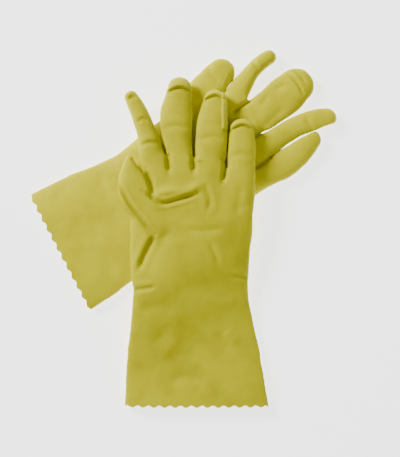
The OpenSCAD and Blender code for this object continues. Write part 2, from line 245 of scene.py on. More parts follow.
def lattice_noise(x, y, size, seed):
    """Smooth value noise from -1 to 1 on a plane."""
    r = np.random.RandomState(seed).uniform(-1, 1, (64, 64))
    u, v = x / size + 100.5, y / size + 100.5
    i, j = np.floor(u).astype(int), np.floor(v).astype(int)
    fu, fv = ease(u - i), ease(v - j)
    g = lambda a, b: r[(i + a) % 64, (j + b) % 64]
    near = g(0, 0) * (1 - fu) + g(1, 0) * fu
    far = g(0, 1) * (1 - fu) + g(1, 1) * fu
    return near * (1 - fv) + far * fv


# ---------------------------------------------------------------- shape fields
SEAT = 0.44


class Field:
    """A grid in a glove's own frame, in mm, and the implicit shapes on it, negative inside."""

    def __init__(self, lo, hi, h):
        self.h = h
        self.ax = [np.arange(lo[k], hi[k] + h, h) for k in range(3)]
        self.X, self.Y = np.meshgrid(self.ax[0], self.ax[1], indexing="ij")
        self.Z = self.ax[2][None, None, :]

    def metric(self, f):
        gx, gy, gz = np.gradient(f, self.h)
        return f / np.maximum(np.sqrt(gx * gx + gy * gy + gz * gz), 1e-4)

    def section(self, across, h, z0, p):
        """across is the share of the half width; flatter below its widest line than above it."""
        z = self.Z - z0
        mid = SEAT * h
        up = np.clip((z - mid) / (h - mid), 0, None)
        down = np.clip((mid - z) / (mid + 0.6), 0, None)
        return self.metric((across**p + up**2.2 + down**3.4) ** (1 / p) - 1)

    def tube(self, rows, p=2.3):
        """Digit from rows of x, y, half width, height and height of its underside."""
        c = curve([list(r) + [0] * (5 - len(r)) for r in rows])
        d, s, _ = along(self.X, self.Y, c)
        st = np.concatenate([[0], np.cumsum(np.hypot(*(c[1:, :2] - c[:-1, :2]).T))])
        a, h, z0 = (np.interp(s, st / st[-1], c[:, k])[:, :, None] for k in (2, 3, 4))
        return self.section(d[:, :, None] / a, h, z0, p)

    def slab(self, rows):
        """Hand and cuff from rows of y, left edge, right edge, height."""
        c = curve(rows)
        xl, xr, h = (np.interp(self.Y, c[:, 0], c[:, k]) for k in (1, 2, 3))
        a = (xr - xl) / 2
        return self.section((np.abs(self.X - (xl + xr) / 2) / a)[:, :, None], h[:, :, None], 0.0, 2.9)


def surface(V, axes):
    """Naive surface nets: vertices and quads of the zero level of V."""
    ins = V < 0
    n = [s - 1 for s in V.shape]
    corners = sum(
        ins[a : a + n[0], b : b + n[1], c : c + n[2]].astype(np.int8)
        for a in (0, 1)
        for b in (0, 1)
        for c in (0, 1)
    )
    act = (corners > 0) & (corners < 8)
    idx = np.full(act.shape, -1, np.int64)
    idx[act] = np.arange(act.sum())
    cell = np.stack(np.nonzero(act), 1)
    P = np.zeros((len(cell), 3))
    cnt = np.zeros(len(cell))
    for ax in range(3):
        o = [k for k in range(3) if k != ax]
        for a in (0, 1):
            for b in (0, 1):
                s0 = cell.copy()
                s0[:, o[0]] += a
                s0[:, o[1]] += b
                s1 = s0.copy()
                s1[:, ax] += 1
                v0, v1 = V[tuple(s0.T)], V[tuple(s1.T)]
                m = (v0 < 0) != (v1 < 0)
                q = s0.astype(float)
                q[:, ax] += np.where(m, v0 / np.where(m, v0 - v1, 1), 0)
                P[m] += q[m]
                cnt[m] += 1
    P = P / cnt[:, None] * (axes[0][1] - axes[0][0]) + [axes[0][0], axes[1][0], axes[2][0]]
    quads = []
    for ax in range(3):
        p, r = (ax + 1) % 3, (ax + 2) % 3
        lo, hi = [slice(None)] * 3, [slice(None)] * 3
        lo[ax], hi[ax] = slice(0, -1), slice(1, None)
        A, B = ins[tuple(lo)], ins[tuple(hi)]
        C = np.stack(np.nonzero(A != B), 1)
        C = C[(C[:, p] > 0) & (C[:, r] > 0) & (C[:, p] < n[p]) & (C[:, r] < n[r])]
        q = []
        for da, db in ((-1, -1), (0, -1), (0, 0), (-1, 0)):
            c = C.copy()
            c[:, p] += da
            c[:, r] += db
            q.append(idx[tuple(c.T)])
        q = np.stack(q, 1)
        back = ~A[tuple(C.T)]
        q[back] = q[back][:, ::-1]
        quads.append(q)
    return P, np.vstack(quads)


def relax(P, Q, rounds):
    """Taubin smoothing, which keeps the volume."""
    E = np.vstack([Q[:, [0, 1]], Q[:, [1, 2]], Q[:, [2, 3]], Q[:, [3, 0]]])
    deg = np.maximum(np.bincount(E.ravel(), minlength=len(P)), 1)[:, None]
    for _ in range(rounds):
        for w in (0.5, -0.52):
            sums = [
                np.bincount(E[:, 0], P[E[:, 1], k], len(P)) + np.bincount(E[:, 1], P[E[:, 0], k], len(P))
                for k in range(3)
            ]
            S = np.stack(sums, 1)
            P = P + w * (S / deg - P)
    return P


def normals(P, T):
    """Area-weighted vertex normals."""
    n = np.cross(P[T[:, 1]] - P[T[:, 0]], P[T[:, 2]] - P[T[:, 0]])
    sums = [sum(np.bincount(T[:, c], n[:, k], len(P)) for c in range(3)) for k in range(3)]
    N = np.stack(sums, 1)
    return N / np.maximum(np.linalg.norm(N, axis=1), 1e-12)[:, None]


def clip(D, T, f):
    """Keeps the part of a mesh where f is negative. D holds a row of values for each vertex."""
    f = np.where(np.abs(f) < 0.02, -0.0, f)
    neg = f <= 0
    k = neg[T].sum(1)
    keep = [T[k == 3]]
    E = np.vstack([T[(k == 1) | (k == 2)][:, c] for c in ([0, 1], [1, 2], [2, 0])])
    E = E[neg[E[:, 0]] != neg[E[:, 1]]]
    E = np.unique(np.sort(E, 1), axis=0)
    t = (f[E[:, 0]] / (f[E[:, 0]] - f[E[:, 1]]))[:, None]
    new = D[E[:, 0]] * (1 - t) + D[E[:, 1]] * t
    code = E[:, 0] * len(D) + E[:, 1]

    def at(a, b):
        return len(D) + np.searchsorted(code, np.minimum(a, b) * len(D) + np.maximum(a, b))

    for want in (1, 2):
        S = T[k == want]
        one = neg[S] if want == 1 else ~neg[S]
        r = one.argmax(1)
        a, b, c = (S[np.arange(len(S)), (r + j) % 3] for j in range(3))
        if want == 1:
            keep.append(np.stack([a, at(a, b), at(a, c)], 1))
        else:
            keep.append(np.stack([at(a, b), b, c], 1))
            keep.append(np.stack([at(a, b), c, at(a, c)], 1))
    T = np.vstack(keep)
    T = T[(T[:, 0] != T[:, 1]) & (T[:, 1] != T[:, 2]) & (T[:, 0] != T[:, 2])]
    D = np.vstack([D, new])
    used, T = np.unique(T, return_inverse=True)
    return D[used], T.reshape(-1, 3)


# ---------------------------------------------------------------- shapes of the two gloves, in mm
# Hand and cuff: along, thumb-side edge, little-side edge, height
LEFT_BODY = [
    (-128, -61.4, 75.4, 12.4), (-113, -60.4, 72.6, 12.0), (-82, -58.4, 67.2, 11.0),
    (-57, -56.2, 62.6, 10.8), (-35, -54.2, 58.0, 11.0),
    (-12, -51.8, 53.6, 11.6), (-3, -51.2, 53.0, 11.8), (6, -52.8, 53.0, 12.2), (24, -54.0, 54.2, 13.0),
    (50, -54.0, 56.4, 13.4),
    (67, -53.6, 57.0, 13.4), (84, -50.0, 58.5, 13.2), (100, -45.5, 59.2, 12.8),
    (114, -43.8, 59.4, 12.4), (130, -43.0, 59.4, 12.0),
]
# Digits: along their middle line x, y, half width, height, height of the underside
LEFT_DIGITS = {
    "thumb": [
        (-28, 50, 8, 9.0, 3.6), (-35, 62, 13.5, 10.5, 3.4), (-43, 76, 16.5, 11.6, 3.4),
        (-49.5, 88, 15.6, 12.4, 3.4), (-53.2, 99, 11.8, 12.2, 3.6), (-54.6, 108, 7.2, 11.4, 4.0),
        (-54.8, 113.6, 4.0, 9.8, 4.6),
    ],
    "index": [
        (-28, 96, 11.0, 12.5), (-32.5, 112, 12.0, 12.8), (-35.5, 122, 10.8, 13.8),
        (-37.4, 134, 9.4, 14.6), (-44.6, 153, 7.9, 14.4), (-49.8, 164, 6.8, 13.6),
        (-53.4, 170.4, 5.8, 12.4),
    ],
    "middle": [
        (-6, 94, 11.0, 12.6), (-9, 112, 12.4, 12.8), (-11.6, 124, 13.6, 13.0),
        (-12.6, 136, 14.2, 13.0), (-12.4, 154, 14.6, 12.8), (-10.6, 168, 12.8, 12.2),
        (-9.4, 177.6, 10.8, 11.4),
    ],
    "ring": [
        (16, 90, 12.5, 12.6), (17.5, 106, 13.8, 12.8), (18.9, 120, 14.6, 13.0),
        (19.6, 136, 14.6, 13.0), (21.2, 150, 13.8, 12.8), (22.3, 160, 12.4, 12.0),
        (22.8, 165.6, 11.2, 11.4),
    ],
    "little": [
        (44, 82, 12.4, 12.4), (45.8, 100, 13.2, 12.6), (46.6, 118, 12.8, 12.8),
        (46.8, 131, 12.2, 12.4), (47.0, 139.6, 11.4, 11.6),
    ],
}
RIGHT_BODY = [
    (-115, -60.4, 61.5, 12.8), (-96, -59.6, 59.8, 12.4), (-75, -58.8, 58.2, 11.8),
    (-54.7, -57.2, 55.8, 11.4), (-34, -54.0, 53.0, 11.4),
    (-14, -51.6, 50.8, 11.8), (2, -52.2, 50.2, 12.0), (22, -56.0, 50.0, 12.6), (44, -58.5, 49.0, 12.8),
    (62, -57.5, 47.0, 12.8),
    (80, -54.5, 44.0, 12.8), (98, -52.0, 42.2, 12.6), (114, -51.0, 42.0, 12.2), (130, -50.0, 42.0, 12.0),
]
RIGHT_DIGITS = {
    "thumb": [
        (-34, 46, 10, 10.0), (-42, 60, 15.0, 11.2), (-52, 76, 18.4, 12.0), (-60, 92, 17.0, 12.4),
        (-65.8, 105, 14.6, 12.2), (-69.0, 114.5, 12.8, 11.4),
    ],
    "index": [
        (-38, 98, 10.0, 12.0), (-43, 113, 10.6, 12.0), (-48.5, 124, 9.6, 12.0),
        (-53.4, 134, 7.9, 12.2), (-57.2, 144, 7.2, 12.2), (-59.2, 154, 7.0, 12.0),
        (-59.5, 159.6, 6.6, 11.4),
    ],
    "middle": [
        (-17, 98, 13.0, 12.4), (-18, 114, 15.2, 12.4), (-17.6, 128, 17.0, 12.0),
        (-19, 142, 17.6, 12.0), (-21.4, 156, 18.2, 11.8), (-24.2, 168.4, 16.0, 11.4),
    ],
    "ring": [
        (9, 96, 12.0, 12.0), (9.5, 110, 12.6, 12.0), (8.4, 124, 11.4, 11.6), (8.2, 140, 10.4, 11.2),
        (9.6, 156, 10.0, 11.0), (13.2, 170, 10.2, 11.0), (15.4, 177.0, 9.4, 10.6),
    ],
    "little": [
        (32, 88, 10.4, 12.0), (32.6, 104, 10.8, 12.0), (32.4, 120, 12.4, 11.6),
        (30.8, 134, 12.4, 11.4), (28.4, 147, 11.0, 11.0), (25.8, 155.6, 9.2, 10.4),
    ],
}
# Where neighbouring fingers part, from inside the palm to past the tips
LEFT_PARTS = [
    [(-21, 60), (-19.8, 113), (-26.5, 138), (-32, 155), (-42, 200)],
    [(3.6, 60), (3.6, 113), (3.6, 134), (5.4, 155), (8, 200)],
    [(30, 60), (31.2, 100), (34.2, 130), (35.4, 200)],
]
RIGHT_PARTS = [
    [(-31, 60), (-33, 118.5), (-43.5, 140), (-50, 200)],
    [(-3, 60), (-3, 114), (-1.4, 128), (-2.6, 152), (-7, 200)],
    [(22, 60), (22.2, 108), (19.8, 121), (18.4, 147), (19.5, 158), (26, 200)],
]
FINGERS = ["index", "middle", "ring", "little"]

# Folds pressed into the upper side: kind, points, width, height. Heights are in mm, negative for a groove.
LEFT_FOLDS = [
    ("line", [(-68, 95), (-60, 83), (-52, 70), (-38, 52.5), (-31, 46)], 2.0, -2.8),
    ("line", [(-31.7, 46), (-40, 30.4), (-47.4, 12.9)], 2.6, -2.3),
    ("shelf", [(-31.7, 46), (-40, 30.4), (-47.4, 12.9)], 10.0, -2.1),
    ("line", [(-31.2, 83.4), (-17, 84.8), (-2.3, 85.4), (11.5, 91.5)], 5.2, 2.6),
    (
        "line",
        [(-42.8, 85.6), (-37.3, 81.6), (-30.5, 76.5), (-23.5, 73.9), (-9.7, 77.4), (7.8, 82.8)],
        1.9,
        -3.0,
    ),
    ("line", [(11, 93), (15.2, 85.6), (17.9, 76.4), (16, 66)], 2.6, -1.0),
    ("line", [(-33, 80), (-35.5, 92), (-40, 104)], 2.8, -4.6),
    ("dot", [(-23.5, 44.2), (-22.0, 45.2)], 5.0, -1.1),
    ("line", [(-7, 50.6), (12, 49.2), (32.7, 51.4)], 3.4, -0.7),
    ("line", [(17, 38.6), (22.4, 29), (26.2, 18.4)], 2.6, -0.9),
    ("line", [(-37.3, -56), (-28, -49), (-20.7, -41.4)], 6.5, -0.6),
    ("line", [(-24, -63), (-16, -55), (-9, -46)], 7.5, 0.5),
    ("line", [(33, -41), (37, -47), (42.9, -55)], 6.0, 0.5),
    ("line", [(27, -40), (31, -49), (37, -60)], 6.0, -0.4),
    ("line", [(-18, -88), (-6.9, -84.6), (9, -86)], 6.0, -0.9),
    ("line", [(-51.7, -3.9), (-42, -3.0), (-31, -1.2)], 2.2, -1.3),
    ("line", [(52, 5.4), (46.5, 6.4), (39, 8.5)], 2.2, -1.1),
    ("line", [(-47, -22), (-30, -19), (-12, -22)], 7.0, -0.8),
    ("line", [(10, -12), (26, -16), (44, -13)], 7.0, 0.7),
    ("line", [(42, 62), (44, 76), (46, 90)], 5.0, -0.8),
    ("line", [(-45.5, 126), (-36, 128.5), (-28, 127)], 2.0, -1.2),
    ("line", [(-47, 147), (-43, 149.5), (-38, 148)], 1.8, -1.0),
    ("line", [(-54.8, 167.2), (-52, 169.2), (-49.0, 167.6)], 2.0, -1.7),
    ("line", [(-24, 141), (-12, 143.5), (0, 141)], 3.0, -0.8),
    ("line", [(8, 131), (20, 133.5), (32, 131)], 3.0, -0.8),
    ("line", [(36, 116), (46, 118), (57, 116)], 2.8, -0.7),
    ("line", [(-19.9, 120), (-19.6, 110), (-18, 102)], 2.8, -4.6),
    ("line", [(3.5, 121), (3.3, 111), (4, 102)], 2.8, -4.6),
    ("line", [(32.4, 116), (31.6, 103), (30, 93)], 2.8, -4.8),
]
LEFT_CAPS = [
    ("middle", [(-21.5, 174.6), (-9.6, 178.8), (2.0, 174.6)]),
    ("ring", [(10.6, 166.6), (22.6, 171.6), (34.2, 166.6)]),
    ("little", [(36.0, 140.6), (47.2, 145.2), (58.2, 140.6)]),
]
RIGHT_FOLDS = [
    ("line", [(-37.2, 166.6), (-26, 169.6), (-13.4, 169.4)], 1.3, -1.5),
    ("line", [(-38.5, 171.6), (-31, 175.2), (-22, 176.6)], 1.3, -1.3),
    ("line", [(-31, 148.8), (-28.6, 160)], 3.2, -0.9),
    ("line", [(-29.6, 141.8), (-24.2, 130.6)], 3.2, -0.9),
    ("line", [(-5, 118), (-9, 134), (-12, 150)], 4.0, -0.7),
    ("line", [(-52.6, 109.5), (-57, 116), (-62.5, 123)], 1.6, -1.2),
    ("line", [(-51, 109), (-50, 98), (-51, 84)], 3.0, -2.2),
    ("line", [(-50, 16), (-44, -4), (-34, -18)], 8.0, 0.9),
    ("line", [(-56, 62), (-46, 58), (-38, 60)], 4.0, -1.0),
    ("line", [(-60, 78), (-54, 84), (-46, 86)], 4.0, 0.7),
    ("line", [(-46, -28), (-24, -33), (0, -30)], 7.0, -0.8),
    ("line", [(-50, -60), (-30, -54), (-8, -60)], 8.0, 0.7),
    ("line", [(8, -70), (26, -62), (46, -66)], 7.0, -0.7),
    ("line", [(-33, 126), (-32.4, 116), (-31, 104)], 2.4, -4.4),
    ("line", [(-2.6, 122), (-3, 112), (-3, 100)], 2.4, -4.4),
    ("line", [(20.4, 118), (22.2, 107), (22.4, 95)], 2.4, -4.4),
    ("line", [(4, 162), (12, 160.5), (20, 162.5)], 2.4, -0.9),
    ("line", [(-66, 146), (-59, 144.5), (-52, 146)], 2.0, -0.9),
    ("line", [(-82, 108), (-72, 106), (-60, 109)], 3.0, -0.8),
]
RIGHT_CAPS = []


DRAPE_TURN = math.radians(35)  # the lower glove's lower edge, from the X axis
DRAPE_FROM = (11.5, 25.8)  # minus a point on that edge, mm
DRAPE_START = 4  # how far past it the upper glove starts to come down, mm
DRAPE_RUN = 88  # how far it takes to reach the floor, mm


def drape(x, y):
    """Height of the upper glove's underside: it comes down past the lower glove's lower edge."""
    across = (left.o[0] + x + DRAPE_FROM[0]) * math.sin(DRAPE_TURN)
    d = across - (left.o[1] + y + DRAPE_FROM[1]) * math.cos(DRAPE_TURN)
    return LIFT * (1 - ease((d - DRAPE_START) / DRAPE_RUN))


def fold_height(x, y, folds, caps, seed):
    """Height added to the upper side, and painted light: a painted highlight on the fingertip caps and painted shade
    in the grooves and cap creases.
    """
    D = np.zeros(x.shape)
    tint = np.zeros(x.shape)
    for kind, pts, w, h in folds:
        line = curve(pts, 5) if len(pts) > 2 else np.array(pts, float)
        lo, hi = line.min(0) - 3.2 * w, line.max(0) + 3.2 * w
        m = (x > lo[0]) & (x < hi[0]) & (y > lo[1]) & (y < hi[1])
        if not m.any():
            continue
        d, s, side = along(x[m], y[m], line)
        ends = np.clip(np.minimum(s, 1 - s) / 0.22, 0, 1)
        if kind == "line":
            v = h * np.exp(-((d / w) ** 2) * 1.6) * (0.25 + 0.75 * ease(ends))
            if h < 0 and h > -4:
                v += -0.28 * h * np.exp(-(((d - 2.1 * w) / w) ** 2)) * ends
        elif kind == "shelf":
            v = h * (side > 0) * np.exp(-((d / w) ** 2)) * ease(d / 1.5) * ease(ends)
        else:
            v = h * np.exp(-((d / w) ** 2))
        D[m] += v
        # painted shade: grooves deeper than 0.9 mm are coloured darker, as shade in a crease
        if h < -0.9 and kind == "line":
            tint[m] -= np.clip(-h / 2.5, 0, 1) * np.exp(-((d / w) ** 2) * 2.0) * ends
    for name, pts in caps:
        line = curve(pts, 7)
        m = (np.abs(x - line[:, 0].mean()) < 18) & (y > line[:, 1].min() - 12)
        s = along(x[m], y[m], line)[1]
        over = y[m] - np.interp(x[m], line[:, 0], line[:, 1])
        groove = np.exp(-(((over + 1.3) / 1.5) ** 2))
        D[m] += 1.5 * ease((over + 0.4) / 1.6) - 2.1 * groove * ease(np.minimum(s, 1 - s) / 0.2)
        # painted highlight on the fingertip cap beyond its line, and painted shade in the crease just before it
        tint[m] += ease((over + 0.2) / 1.4) - 0.8 * np.exp(-(((over + 1.0) / 1.2) ** 2))
    broad = 0.42 * lattice_noise(x, y, 23.0, seed)
    middling = 0.22 * lattice_noise(x, y, 10.5, seed + 1)
    fine = 0.05 * lattice_noise(x, y, 4.6, seed + 2)
    D += broad + middling + fine
    return D, tint


class Shell:
    """The outer skin of one shape, with its folds, ready to be cut into pieces. Columns of D:
    flat x, y, z; laid x, y, z; normal x, y, z; painted highlight and shade; top side share."""

    def __init__(self, glove, F, V, h_rounds, spec, sink=0.0):
        P, Q = surface(V, F.ax)
        P = relax(P, Q, h_rounds)
        P[:, 2] = np.maximum(P[:, 2], sink)
        T = np.vstack([Q[:, [0, 1, 2]], Q[:, [0, 2, 3]]])
        N = normals(P, T)
        x, y = P[:, 0].copy(), P[:, 1].copy()
        up = ease((P[:, 2] - 3.5) / 4.5)
        add, tint = fold_height(x, y, spec["folds"], spec["caps"], spec["seed"])
        flat = P.copy()
        wob = 0.55 * lattice_noise(x, y, 13.0, spec["seed"] + 5)
        wob = wob + 0.25 * lattice_noise(x, y, 6.0, spec["seed"] + 6)
        side = np.clip(1 - np.abs(N[:, 2]) * 1.15, 0, 1)
        P[:, 0] += N[:, 0] * side * wob
        P[:, 1] += N[:, 1] * side * wob
        P[:, 2] += up * add
        W = glove.world(P)
        if glove.side == "left":
            W[:, 2] += drape(flat[:, 0], flat[:, 1])
        # the painted highlight and shade is kept on the upper side only
        self.D = np.hstack([flat, W, normals(W, T), tint[:, None] * up[:, None], up[:, None]])
        self.T = T

    def cut(self, *fs):
        D, T = self.D, self.T
        for f in fs:
            D, T = clip(D, T, f(D[:, 0], D[:, 1], D[:, 2]))
        return D, T


def boundary(T):
    """Edges that only one triangle has."""
    E = np.vstack([T[:, [0, 1]], T[:, [1, 2]], T[:, [2, 0]]])
    code = np.sort(E, 1)
    key = code[:, 0] * (T.max() + 1) + code[:, 1]
    _, inv, cnt = np.unique(key, return_inverse=True, return_counts=True)
    return E[cnt[inv] == 1]


def film_back(D, T, thick, rim):
    """Adds the inner side of the film and its rim along the open edge where rim is true."""
    B = D.copy()
    B[:, 3:6] -= D[:, 6:9] * thick
    B[:, 6:9] *= -1
    n = len(D)
    E = boundary(T)
    E = E[rim(D[E[:, 0]]) & rim(D[E[:, 1]])]
    near = np.stack([E[:, 1], E[:, 0], E[:, 0] + n], 1)
    far = np.stack([E[:, 1], E[:, 0] + n, E[:, 1] + n], 1)
    strip = np.vstack([near, far])
    return np.vstack([D, B]), np.vstack([T, T[:, ::-1] + n, strip])


def build(name, D, T, material):
    """A mesh object from the columns of D and the triangles T, with its normals, UVs and attributes."""
    me = bpy.data.meshes.new(name)
    me.vertices.add(len(D))
    me.vertices.foreach_set("co", (D[:, 3:6] * MM).astype(np.float32).ravel())
    me.loops.add(3 * len(T))
    me.loops.foreach_set("vertex_index", T.astype(np.int32).ravel())
    me.polygons.add(len(T))
    me.polygons.foreach_set("loop_start", np.arange(0, 3 * len(T), 3, dtype=np.int32))
    me.polygons.foreach_set("loop_total", np.full(len(T), 3, dtype=np.int32))
    me.update(calc_edges=True)
    me.validate()
    uv = me.uv_layers.new(name="UVMap")
    vi = np.zeros(len(me.loops), np.int32)
    me.loops.foreach_get("vertex_index", vi)
    uv.data.foreach_set("uv", (D[vi, :2] * MM * UV_PER_M).astype(np.float32).ravel())
    for label, col in (("tint", 9), ("upside", 10)):
        at = me.attributes.new(label, "FLOAT", "POINT")
        at.data.foreach_set("value", D[:, col].astype(np.float32))
    me.shade_smooth()
    me.normals_split_custom_set_from_vertices(D[:, 6:9].astype(np.float32).tolist())
    me.materials.append(material)
    ob = bpy.data.objects.new(name, me)
    bpy.context.scene.collection.objects.link(ob)
    return ob


# ---------------------------------------------------------------- materials
def nodes_of(name):
    m = bpy.data.materials.new(name)
    m.use_nodes = True
    nt = m.node_tree
    return m, nt, nt.nodes["Principled BSDF"]


def put(nt, kind, **inputs):
    n = nt.nodes.new(kind)
    for k, v in inputs.items():
        n.inputs[k.replace("_", " ")].default_value = v
    return n


def ramp(nt, fac, stops):
    r = nt.nodes.new("ShaderNodeValToRGB")
    e = r.color_ramp.elements
    e[0].position, e[0].color = stops[0][0], (*stops[0][1], 1)
    e[1].position, e[1].color = stops[-1][0], (*stops[-1][1], 1)
    for pos, col in stops[1:-1]:
        k = e.new(pos)
        k.color = (*col, 1)
    nt.links.new(fac, r.inputs["Fac"])
    return r


def mixed(nt, fac, a, b):
    m = nt.nodes.new("ShaderNodeMix")
    m.data_type = "RGBA"
    if isinstance(fac, (int, float)):
        m.inputs["Factor"].default_value = fac
    else:
        nt.links.new(fac, m.inputs["Factor"])
    for sock, v in ((m.inputs[6], a), (m.inputs[7], b)):
        if isinstance(v, tuple):
            sock.default_value = (*v, 1)
        else:
            nt.links.new(v, sock)
    return m.outputs[2]


def maths(nt, op, a, b=None):
    m = nt.nodes.new("ShaderNodeMath")
    m.operation = op
    for sock, v in zip(m.inputs, (a, b)):
        if v is None:
            continue
        if isinstance(v, (int, float)):
            sock.default_value = v
        else:
            nt.links.new(v, sock)
    return m.outputs[0]


def latex(name, base, deep, painted_highlight_colour, grip):
    m, nt, bsdf = nodes_of(name)
    uv = nt.nodes.new("ShaderNodeUVMap")
    uv.uv_map = "UVMap"
    co = uv.outputs["UV"]
    noise = put(nt, "ShaderNodeTexNoise", Scale=3.2, Detail=4.0, Roughness=0.55)
    fine = put(nt, "ShaderNodeTexNoise", Scale=52.0, Detail=3.0, Roughness=0.6)
    for n in (noise, fine):
        nt.links.new(co, n.inputs["Vector"])
    light = tuple(min(1, c * 1.07) for c in base)
    col = ramp(nt, noise.outputs["Fac"], [(0.30, deep), (0.52, base), (0.78, light)]).outputs["Color"]
    # painted light: this attribute mixes the fingertip caps towards a painted highlight colour and the grooves towards
    # a painted shade colour
    tint = nt.nodes.new("ShaderNodeAttribute")
    tint.attribute_name = "tint"
    painted_highlight_mask = maths(nt, "MAXIMUM", tint.outputs["Fac"], 0.0)
    col = mixed(nt, maths(nt, "MULTIPLY", painted_highlight_mask, 0.62), col, painted_highlight_colour)
    # painted shade: grooves go towards 0.55 of the deep colour
    painted_shade_mask = maths(nt, "MAXIMUM", maths(nt, "MULTIPLY", tint.outputs["Fac"], -1.0), 0.0)
    painted_shade_amount = maths(nt, "MULTIPLY", painted_shade_mask, 0.42)
    col = mixed(nt, painted_shade_amount, col, tuple(c * 0.55 for c in deep))
    nt.links.new(col, bsdf.inputs["Base Color"])
    rough = nt.nodes.new("ShaderNodeMapRange")
    rough.inputs["To Min"].default_value = 0.40 if not grip else 0.50
    rough.inputs["To Max"].default_value = 0.56 if not grip else 0.68
    nt.links.new(fine.outputs["Fac"], rough.inputs["Value"])
    nt.links.new(rough.outputs["Result"], bsdf.inputs["Roughness"])
    height = maths(nt, "MULTIPLY", fine.outputs["Fac"], 0.35)
    if grip:
        sep = nt.nodes.new("ShaderNodeSeparateXYZ")
        nt.links.new(co, sep.inputs["Vector"])
        rising = maths(nt, "ADD", sep.outputs["X"], sep.outputs["Y"])
        a = maths(nt, "SINE", maths(nt, "MULTIPLY", rising, 260.0))
        falling = maths(nt, "SUBTRACT", sep.outputs["X"], sep.outputs["Y"])
        b = maths(nt, "SINE", maths(nt, "MULTIPLY", falling, 260.0))
        weave = maths(nt, "MULTIPLY", a, b)
        zone = nt.nodes.new("ShaderNodeMapRange")
        zone.inputs["From Min"].default_value = -0.10
        zone.inputs["From Max"].default_value = 0.12
        nt.links.new(sep.outputs["Y"], zone.inputs["Value"])
        up = nt.nodes.new("ShaderNodeAttribute")
        up.attribute_name = "upside"
        where = maths(nt, "MULTIPLY", zone.outputs["Result"], up.outputs["Fac"])
        weave = maths(nt, "MULTIPLY", weave, where)
        height = maths(nt, "ADD", height, maths(nt, "MULTIPLY", weave, 0.5))
    bump = put(nt, "ShaderNodeBump", Strength=0.32, Distance=0.00035)
    nt.links.new(height, bump.inputs["Height"])
    nt.links.new(bump.outputs["Normal"], bsdf.inputs["Normal"])
    bsdf.inputs["IOR"].default_value = 1.46
    bsdf.inputs["Specular IOR Level"].default_value = 0.10
    return m


def flock():
    m, nt, bsdf = nodes_of("cotton_flock")
    uv = nt.nodes.new("ShaderNodeUVMap")
    uv.uv_map = "UVMap"
    fine = put(nt, "ShaderNodeTexNoise", Scale=160.0, Detail=4.0, Roughness=0.7)
    nt.links.new(uv.outputs["UV"], fine.inputs["Vector"])
    r = ramp(nt, fine.outputs["Fac"], [(0.3, (0.60, 0.56, 0.33)), (0.7, (0.80, 0.76, 0.52))])
    nt.links.new(r.outputs["Color"], bsdf.inputs["Base Color"])
    bump = put(nt, "ShaderNodeBump", Strength=0.6, Distance=0.0004)
    nt.links.new(fine.outputs["Fac"], bump.inputs["Height"])
    nt.links.new(bump.outputs["Normal"], bsdf.inputs["Normal"])
    bsdf.inputs["Roughness"].default_value = 0.95
    bsdf.inputs["Sheen Weight"].default_value = 0.5
    return m


# the third colour in each call is the painted highlight colour of the fingertip caps
LATEX = {
    "left": latex("latex_palm_side", (0.60, 0.56, 0.0), (0.50, 0.45, 0.0), (0.68, 0.65, 0.03), True),
    "right": latex("latex_back_side", (0.68, 0.63, 0.0), (0.58, 0.52, 0.0), (0.70, 0.66, 0.0), False),
}
COTTON = flock()
SLOTS = {"left": "latex_palm_side", "right": "latex_back_side"}

# ---------------------------------------------------------------- where each glove is cut
# roots: the line of finger roots; ahead: how far past it each finger starts; crotch: the line that
# the thumb is cut along; reach: length that the thumb bends over; fold: where the cuff is cut;
# mouth: the cuff's edge; pitch: width of a scallop
SPEC = {
    "left": dict(
        glove=left,
        body=LEFT_BODY,
        digits=LEFT_DIGITS,
        parts=LEFT_PARTS,
        folds=LEFT_FOLDS,
        caps=LEFT_CAPS,
        seed=3,
        roots=[(-44.5, 116.1), (58.5, 97.9)],
        ahead=[3.0, 6.0, 6.0, 1.5],
        crotch=[(-54, 52), (-33, 76)],
        reach=26.0,
        fold=-62.0,
        mouth=[(-61, -112), (70, -112)],
        pitch=9.8,
    ),
    "right": dict(
        glove=right,
        body=RIGHT_BODY,
        digits=RIGHT_DIGITS,
        parts=RIGHT_PARTS,
        folds=RIGHT_FOLDS,
        caps=RIGHT_CAPS,
        seed=11,
        roots=[(-52.5, 123.8), (40.9, 107.4)],
        ahead=[0.8, 0.8, 0.8, 0.8],
        crotch=[(-56, 50), (-47, 100)],
        reach=17.0,
        fold=-65.6,
        mouth=[(-60, -93.4), (59.5, -98.5)],
        pitch=9.8,
    ),
}


def past(line):
    """Signed distance past a straight line, positive on its left."""
    (x0, y0), (x1, y1) = line
    l = math.hypot(x1 - x0, y1 - y0)
    return lambda x, y: (-(x - x0) * (y1 - y0) + (y - y0) * (x1 - x0)) / l


def part_side(part):
    """Signed distance across from a line that parts two fingers, positive towards the little finger."""
    c = np.array(part, float)
    return lambda x, y: x - np.interp(y, c[:, 1], c[:, 0])


def scallops(spec):
    """Negative inside the pinked edge; the two sides of the cuff are a little out of step."""
    edge = past(spec["mouth"])

    def inside(x, y, z=0):
        wave = np.cos((x - 1.2 * np.sign(z - 4)) * 2 * math.pi / spec["pitch"])
        return SCALLOP_HALF - edge(x, y) + SCALLOP_HALF * wave

    return inside


